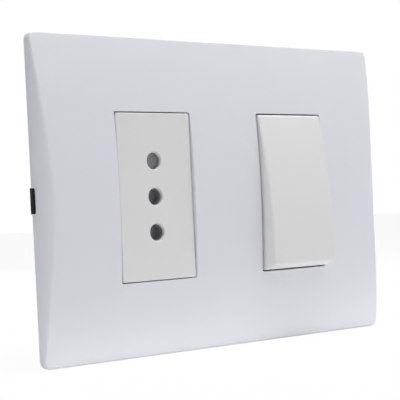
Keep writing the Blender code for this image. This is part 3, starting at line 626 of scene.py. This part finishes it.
def turned(shape, profile, steps=64):
    """Revolve (radius, height) points about Z, and close the poles."""
    verts = [shape.verts.new((radius, 0.0, height)) for radius, height in profile]
    edges = [shape.edges.new(pair) for pair in zip(verts, verts[1:])]
    bmesh.ops.spin(shape, geom=verts + edges, cent=(0.0, 0.0, 0.0), axis=(0.0, 0.0, 1.0),
                   angle=2 * math.pi, steps=steps, use_merge=True, use_duplicate=False)
    bmesh.ops.remove_doubles(shape, verts=shape.verts, dist=same_spot)


def laid_to(shape, place, facing):
    """Turn a shape that points along +Z so that it points to the room or the wall, and put it in place."""
    turn = math.pi / 2 if facing == "room" else -math.pi / 2
    bmesh.ops.transform(shape, matrix=Matrix.Translation(place) @ Matrix.Rotation(turn, 4, "X"),
                        verts=shape.verts)


def at_pins(profiles):
    """One shape from turned profiles, each laid on the axis of the pin hole at its height."""
    row = bmesh.new()
    for z, profile in profiles:
        single = bmesh.new()
        turned(single, profile)
        laid_to(single, (cover_x, cover_low.y, z), "room")
        mesh = bpy.data.meshes.new("working")
        single.to_mesh(mesh)
        single.free()
        row.from_mesh(mesh)
        bpy.data.meshes.remove(mesh)
    bmesh.ops.recalc_face_normals(row, faces=row.faces)
    return row


def three_turned(profile):
    """The same turned shape at each of the three pins."""
    return at_pins([(z, profile) for z in (-pin_pitch, 0.0, pin_pitch)])


cover_shape = bmesh.new()
prism(cover_shape, rounded_rectangle(cover_half_x, cover_high.z, cover_corner, (cover_x, 0.0)),
      cover_low.y + lip_depth / 2, 0.0, "Y")
lip = bmesh.new()
prism(lip, rounded_rectangle(cover_half_x + lip_side, cover_high.z + lip_top, cover_corner,
                             (cover_x + lip_side, 0.0)), cover_low.y, cover_low.y + lip_depth, "Y")
front_edges = [edge for edge in sharp_edges(lip)
               if all(abs(vert.co.y - cover_low.y) < slack for vert in edge.verts)]
rounded(lip, front_edges, cover_edge, segments=6)
cover_shape = boolean(cover_shape, lip, "UNION")
hollow = bmesh.new()
hollow_corner = cover_wall / 4
prism(hollow, rounded_rectangle(cover_half_x - cover_wall, cover_high.z - cover_wall, hollow_corner,
                                (cover_x, 0.0)), cover_low.y + cover_face, cover_past, "Y")
cover_shape = boolean(cover_shape, hollow)
legs = bmesh.new()
leg_reach = cover_high.y
leg_ledge = leg_reach - leg_barb_height
leg_root = cover_low.y + cover_face - leg_play
skirt_inner = cover_high.z - cover_wall + leg_play
leg = [(leg_root, leg_outer - leg_thickness), (leg_reach, leg_outer - leg_thickness),
       (leg_reach, leg_outer - leg_thickness / 2), (leg_ledge + leg_play, leg_outer + leg_barb),
       (leg_ledge, leg_outer + leg_barb), (leg_ledge, leg_outer), (-leg_play, leg_outer),
       (-leg_play, skirt_inner), (leg_root, skirt_inner)]
for side in (-1, 1):
    prism(legs, [(y, side * z) for y, z in leg], cover_x - leg_half, cover_x + leg_half, "X")
cover_shape = boolean(cover_shape, legs, "UNION")
guide_end = cover_low.y - guide_reach
guides = three_turned([(0.0, leg_play - cover_face), (guide_radius, leg_play - cover_face),
                       (guide_radius, guide_end), (0.0, guide_end)])
cover_shape = boolean(cover_shape, guides, "UNION")
pin_lift = 0.00004
flare = arc((pin_hole + pin_rim, pin_lift - pin_rim), pin_rim, 90, 180, steps=10)
holes = three_turned([(0.0, cover_past), (pin_hole + pin_rim, cover_past)] + flare
                     + [(pin_hole, -bore_land), (bore_relief, -bore_land - bore_step),
                        (bore_relief, guide_end - cover_past), (0.0, guide_end - cover_past)])
cover_shape = boolean(cover_shape, holes)
module_white = moulded("module_white", (0.785, 0.785, 0.780), (0.772, 0.772, 0.767), 0.45, 0.000008)
new_piece("socket_cover_front", cover_shape, module_white, "base", ["socket_cover"],
          sharp=28.0)

# Liners and shutters of the pin holes
# A tube of grey plastic lines each guide just behind the white face. A shutter of a darker grey closes each
# hole, close behind the face in the upper one and deeper in the other two.
liner_play = 0.00005
liner_setback = 0.0001
liner_front = -bore_land - bore_step - liner_play
liner_rear = guide_end + liner_setback
liner_outer = bore_relief - liner_play
liner_inner = 0.0022
liner_round = 0.0001
liner_shape = three_turned([(liner_inner, liner_rear), (liner_inner, liner_front - liner_round),
                            (liner_inner + liner_round, liner_front), (liner_outer, liner_front),
                            (liner_outer, liner_rear), (liner_inner, liner_rear)])
liner_grey = moulded("liner_grey", (0.300, 0.300, 0.315), (0.270, 0.272, 0.285), 0.55, 0.00002)
new_piece("pin_hole_liners", liner_shape, liner_grey, "base", [])
shutter_thickness = 0.0008
shutter_dish = 0.0001
shutter_dish_end = 0.6
shutter_rim = 0.8
shutter_radius = liner_inner - liner_play
shutter_fronts = ((pin_pitch, -0.0016), (0.0, -0.0034), (-pin_pitch, -0.0036))


def shutter_profile(front):
    """Outline of a dished disc with its rim this far out from the cover's face, below zero behind it."""
    return [(0.0, front - shutter_dish), (shutter_dish_end * liner_inner, front - shutter_dish),
            (shutter_rim * liner_inner, front), (shutter_radius, front - shutter_dish / 2),
            (shutter_radius, front - shutter_thickness), (0.0, front - shutter_thickness)]


shutter_shape = at_pins([(z, shutter_profile(front)) for z, front in shutter_fronts])
shutter_grey = moulded("shutter_grey", (0.250, 0.250, 0.252), (0.225, 0.225, 0.227), 0.50, 0.00002)
new_piece("pin_hole_shutters", shutter_shape, shutter_grey, "base", [])

# Socket contacts and their terminals
# Three slit brass sleeves take the pins. Each is stamped in one piece with a foot, on which a steel saddle
# and a screw clamp the wire.

# The finish of stamped and turned metal: a faintly mottled colour, fine lines drawn along one direction and
# shallow dents from handling
metal_skin, metal_in, metal_out = new_group("metal_skin", (
    ("Vector", "Vector", None), ("Colour", "Color", (0.6, 0.6, 0.6, 1.0)),
    ("Stain Colour", "Color", (0.5, 0.5, 0.5, 1.0)), ("Stain Scale", "Float", 900.0),
    ("Line Stretch", "Vector", (8000.0, 400.0, 8000.0)), ("Line Depth", "Float", 0.000002),
    ("Dent Scale", "Float", 1500.0), ("Dent Depth", "Float", 0.000006),
    ("Roughness Low", "Float", 0.25), ("Roughness High", "Float", 0.45)),
    (("Colour", "Color"), ("Roughness", "Float"), ("Normal", "Vector")))
stains = noise(metal_skin, metal_in, "Stain Scale", Detail=3.0, Roughness=0.6)
dents = noise(metal_skin, metal_in, "Dent Scale", Detail=1.0)
stretched = add(metal_skin, "VectorMath", operation="MULTIPLY")
lines = add(metal_skin, "TexNoise", Scale=1.0, Detail=2.0)
metal_skin.links.new(metal_in.outputs["Vector"], stretched.inputs[0])
metal_skin.links.new(metal_in.outputs["Line Stretch"], stretched.inputs[1])
metal_skin.links.new(stretched.outputs[0], lines.inputs["Vector"])
mix_colours(metal_skin, metal_in, metal_out, "Stain Colour", stains)
vary_roughness(metal_skin, metal_in, metal_out, stains)
raise_relief(metal_skin, metal_in, metal_out, ((dents, "Dent Depth"), (lines, "Line Depth")))

shine_spread = 0.07


def metal(name, colour, stain_colour, roughness):
    """Bare or plated metal."""
    return finish_with(name, metal_skin, {
        "Colour": (*colour, 1.0), "Stain Colour": (*stain_colour, 1.0),
        "Roughness Low": roughness - shine_spread,
        "Roughness High": roughness + shine_spread}, Metallic=1.0)


brass = metal("brass", (0.72, 0.52, 0.24), (0.64, 0.45, 0.20), 0.30)
steel = metal("steel", (0.62, 0.62, 0.63), (0.56, 0.57, 0.60), 0.32)
stamped_edge = 0.00008


def stamped(name, node, material, body="base"):
    """Sheet metal piece with the soft edges that a press leaves."""
    shape = merged(node)
    rounded(shape, sharp_edges(shape, angle=40.0), stamped_edge, segments=2)
    new_piece(name, shape, material, body, [node])


for pole in ("line", "earth", "neutral"):
    stamped(pole + "_pin_sleeve", pole + "_contact", brass)
for terminal in ("line", "earth", "neutral", "common", "fixed"):
    stamped(terminal + "_wire_saddle", terminal + "_terminal_saddle", steel)

# Box screws and terminal screws
# Zinc-plated screws with low domed heads, a tapered cross recess and a rolled thread. Two long ones hold
# the frame to the wall box, and five short ones clamp the wires.
thread_steps = 6
thread_slope = 2.6
point_share = 0.55
recess_reach = 0.62
recess_half = 0.17
recess_lean = 0.62
recess_depth = 0.00115
# The head's outline, in shares of its radius and height
head_dome = ((0.0, 1.0), (0.28, 0.99), (0.55, 0.95), (0.76, 0.85), (0.90, 0.68), (0.97, 0.48), (1.0, 0.28),
             (1.0, 0.06), (0.98, 0.0))
# Head radius and height, shank radius, length, thread pitch and depth, and how long neck and point are
box_screw = (0.0033, 0.0016, 0.00175, 0.0250, 0.00060, 0.00028, 0.0012, 0.0016)
terminal_screw = (0.0024, 0.0018, 0.00125, 0.0060, 0.00050, 0.00020, 0.0008, 0.0006)


def screw_shape(head, head_height, shank, length, pitch, depth, neck, point, around=36):
    """Screw about Z with its head's seat at the origin. The thread runs from the neck to the point."""
    stations = [(out * head, up * head_height, 0.0) for out, up in head_dome]
    stations += [(shank, 0.0, 0.0), (shank - depth, -neck, 0.0)]
    count = int((length - point - neck) / pitch * thread_steps)
    for k in range(1, count):
        fade = min(1.0, k / thread_steps, (count - k) / thread_steps)
        stations.append((shank, -neck - (length - point - neck) * k / count, depth * fade))
    stations += [(shank - depth, point - length, 0.0), (shank * point_share, -length, 0.0),
                 (0.0, -length, 0.0)]
    shape = bmesh.new()
    bmesh.ops.create_grid(shape, x_segments=around, y_segments=len(stations) - 1, size=0.5)
    for vert in shape.verts:
        i = round((vert.co.x + 0.5) * around)
        j = round((vert.co.y + 0.5) * (len(stations) - 1))
        radius, height, ridge = stations[j]
        if ridge or 0 < j - len(head_dome) - 1 < count:
            turn_share = (height / pitch - i / around) % 1.0
            radius = shank - depth + ridge * max(0.0, 1.0 - thread_slope * abs(turn_share - 0.5))
        angle = 2 * math.pi * i / around
        vert.co = (radius * math.cos(angle), radius * math.sin(angle), height)
    bmesh.ops.remove_doubles(shape, verts=shape.verts, dist=same_spot)
    bmesh.ops.recalc_face_normals(shape, faces=shape.faces)
    return shape


def cross_recess(reach, half, top, depth):
    """Tool that cuts a cross recess whose walls lean inwards."""
    outline = [(reach, half), (half, half), (half, reach), (-half, reach), (-half, half), (-reach, half),
               (-reach, -half), (-half, -half), (-half, -reach), (half, -reach), (half, -half),
               (reach, -half)]
    shape = bmesh.new()
    for vert in prism(shape, outline, top - depth, top + depth, "Z"):
        if vert.co.z < top:
            vert.co.x *= recess_lean
            vert.co.y *= recess_lean
    return shape


def screw(name, node, sizes, place, facing):
    """One screw with its recess, in the place of a CAD screw."""
    shape = screw_shape(*sizes)
    head, head_height = sizes[:2]
    recess = cross_recess(recess_reach * head, recess_half * head, head_height, recess_depth)
    shape = boolean(shape, recess)
    laid_to(shape, place, facing)
    new_piece(name, shape, steel, "base", [node], sharp=30.0)


for side in ("left", "right"):
    low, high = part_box("box_screw_" + side)
    head_seat = ((low.x + high.x) / 2, low.y + box_screw[1], 0.0)
    screw(side + "_box_screw", "box_screw_" + side, box_screw, head_seat, "room")
for terminal in ("line", "earth", "neutral", "common", "fixed"):
    low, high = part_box(terminal + "_terminal_screw")
    head_seat = ((low.x + high.x) / 2, high.y - terminal_screw[1], (low.z + high.z) / 2)
    screw(terminal + "_clamp_screw", terminal + "_terminal_screw", terminal_screw, head_seat, "wall")

# Rocker key
# The hollow off-white key turns on two trunnions. Its crowned face and its two ends, which are arcs about
# the pivot, run into each other over soft edges.
key_turn = math.radians(-6.3)
key_pivot_y = -0.001251
key_place = Vector(((key_low.x + key_high.x) / 2, key_pivot_y, 0.0))
key_frame = Matrix.Translation(key_place) @ Matrix.Rotation(key_turn, 4, "X")
key_rise = 0.0071
key_bow = 0.2000
key_half = 0.021489
key_sweep = 0.022295
key_skirt = 0.0009
key_wall = 0.0015
key_edge = 0.0007
key_half_x = (key_high.x - key_low.x) / 2
key_left_lip = 0.00018
key_left = -key_half_x - key_left_lip
key_face_steps = 32
key_end_steps = 8
tube_radius = 0.0030
tube_reach = 0.0055
tube_bore = 0.0019
joint_overlap = 0.0003
tube_root = key_wall - key_rise - joint_overlap
trunnion_radius = 0.0015
trunnion_inner = 0.00845
key_past = 0.0010


def key_outline(inset, rear):
    """(y, z) outline of the key about its pivot."""
    bow = key_bow - inset
    sweep = key_sweep - inset
    half = key_half - inset
    heights = [half * (2 * i / key_face_steps - 1) for i in range(key_face_steps + 1)]
    face = [(key_bow - key_rise - math.sqrt(bow ** 2 - z ** 2), z) for z in heights]
    start = math.degrees(math.atan2(half, face[-1][0]))
    end = math.degrees(math.atan2(math.sqrt(sweep ** 2 - rear ** 2), rear))
    upper = arc((0.0, 0.0), sweep, start, end, key_end_steps)
    return [(y, -z) for y, z in reversed(upper)] + face[1:-1] + upper


def bar(radius, low, high, along, segments=48):
    """Closed cylinder along an axis through the origin."""
    shape = bmesh.new()
    rim = [(radius * math.cos(a), radius * math.sin(a)) for a in spread(0.0, 2 * math.pi, segments)]
    prism(shape, rim, low, high, along)
    return shape


key_shape = bmesh.new()
prism(key_shape, key_outline(0.0, key_skirt), key_left, key_half_x, "X")
rounded(key_shape, sharp_edges(key_shape, angle=30.0), key_edge, segments=8)
key_hollow = bmesh.new()
hollow_half_x = key_half_x - key_wall
prism(key_hollow, key_outline(key_wall, key_skirt + key_past), -hollow_half_x, hollow_half_x, "X")
key_shape = boolean(key_shape, key_hollow)
key_shape = boolean(key_shape, bar(tube_radius, tube_root, tube_reach, "Y"), "UNION")
key_shape = boolean(key_shape, bar(tube_bore, tube_root, tube_reach + key_past, "Y"))
for side in (-1, 1):
    ends = sorted((side * (hollow_half_x + joint_overlap), side * trunnion_inner))
    key_shape = boolean(key_shape, bar(trunnion_radius, *ends, "X"), "UNION")
bmesh.ops.transform(key_shape, matrix=key_frame, verts=key_shape.verts)
new_piece("rocker_key_shell", key_shape, module_white, "rocker", ["rocker_key"],
          sharp=28.0)

# Plunger and its spring
# A round-nosed steel pin slides in the key's tube, and a coil of spring wire presses it onto the blade.
plunger_radius = 0.0016
plunger_tip = 0.0100
plunger_seat = 0.0010
plunger_chamfer = 0.00015
nose = arc((0.0, plunger_radius - plunger_tip), plunger_radius, 0, -90, steps=12)
plunger_shape = bmesh.new()
turned(plunger_shape, [(0.0, -plunger_seat), (plunger_radius - plunger_chamfer, -plunger_seat),
                       (plunger_radius, -plunger_seat - plunger_chamfer)] + nose[:-1]
       + [(0.0, -plunger_tip)], steps=48)
laid_to(plunger_shape, (0.0, 0.0, 0.0), "room")
bmesh.ops.transform(plunger_shape, matrix=key_frame, verts=plunger_shape.verts)
bmesh.ops.recalc_face_normals(plunger_shape, faces=plunger_shape.faces)
new_piece("plunger_pin", plunger_shape, steel, "plunger", ["plunger"])

wire_radius = 0.0002
coil_radius = plunger_radius - wire_radius
coil_play = 0.0003
coil_start = tube_root + joint_overlap + wire_radius
coil_end = plunger_seat - coil_play - wire_radius
coil_turns = 5
coil_steps = 36
spring_shape = bmesh.new()
ring = bmesh.ops.create_circle(spring_shape, cap_ends=True, radius=wire_radius, segments=10,
                               matrix=Matrix.Translation((coil_radius, coil_start, 0.0)))["verts"]
start_face = ring[0].link_faces[0]
bmesh.ops.spin(spring_shape, geom=[start_face], cent=(0.0, 0.0, 0.0), axis=(0.0, -1.0, 0.0),
               dvec=(0.0, (coil_end - coil_start) / (coil_turns * coil_steps), 0.0),
               angle=2 * math.pi * coil_turns, steps=coil_turns * coil_steps, use_duplicate=False)
bmesh.ops.transform(spring_shape, matrix=key_frame, verts=spring_shape.verts)
bmesh.ops.recalc_face_normals(spring_shape, faces=spring_shape.faces)
spring = new_piece("plunger_coil", spring_shape, steel, "rocker", ["plunger_spring"])
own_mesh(spring)

# Contact blade, terminals of the switch and their rivets
# A copper alloy blade rocks on the knife edge of one brass strip and touches the raised pad of the other.
# Silver rivets with domed heads make the contact.
copper = metal("copper", (0.76, 0.42, 0.28), (0.66, 0.36, 0.24), 0.32)
silver = metal("silver", (0.82, 0.81, 0.78), (0.76, 0.75, 0.71), 0.26)
stamped("rocking_blade", "contact_blade", copper, "blade")
stamped("knife_edge_strip", "common_terminal", brass)
stamped("contact_pad_strip", "fixed_terminal", brass)
rivet_radius = 0.0018
rivet_head = 0.0009
rivet_shank = 0.0009
rivet_arm = 0.0095
fixed_stem = 0.0018
moving_stem = 0.0014
blade_turn = math.radians(9.0)
blade_pivot_y = 0.0099897
pad_y = 0.013565
pad_z = -0.009242
moving_seat = (Matrix.Translation((key_place.x, blade_pivot_y, 0.0))
               @ Matrix.Rotation(blade_turn, 4, "X"))
fixed_seat = Matrix.Translation((key_place.x, pad_y, pad_z))
# The rivet head's outline, in shares of its radius and height
rivet_dome = ((0.0, 1.0), (0.3, 0.99), (0.55, 0.95), (0.76, 0.84), (0.90, 0.68), (0.97, 0.50), (1.0, 0.30),
              (1.0, 0.0))
rivets = (("fixed", fixed_stem, fixed_seat, (0.0, 0.0, 0.0), "room", "base"),
          ("moving", moving_stem, moving_seat, (0.0, 0.0, -rivet_arm), "wall", "blade"))
for label, stem, seat, place, facing, body in rivets:
    rivet_shape = bmesh.new()
    turned(rivet_shape, [(out * rivet_radius, up * rivet_head) for out, up in rivet_dome]
           + [(rivet_shank, 0.0), (rivet_shank, -stem), (0.0, -stem)], steps=48)
    laid_to(rivet_shape, place, facing)
    bmesh.ops.transform(rivet_shape, matrix=seat, verts=rivet_shape.verts)
    bmesh.ops.recalc_face_normals(rivet_shape, faces=rivet_shape.faces)
    new_piece(label + "_contact_rivet", rivet_shape, silver, body, [label + "_rivet"])
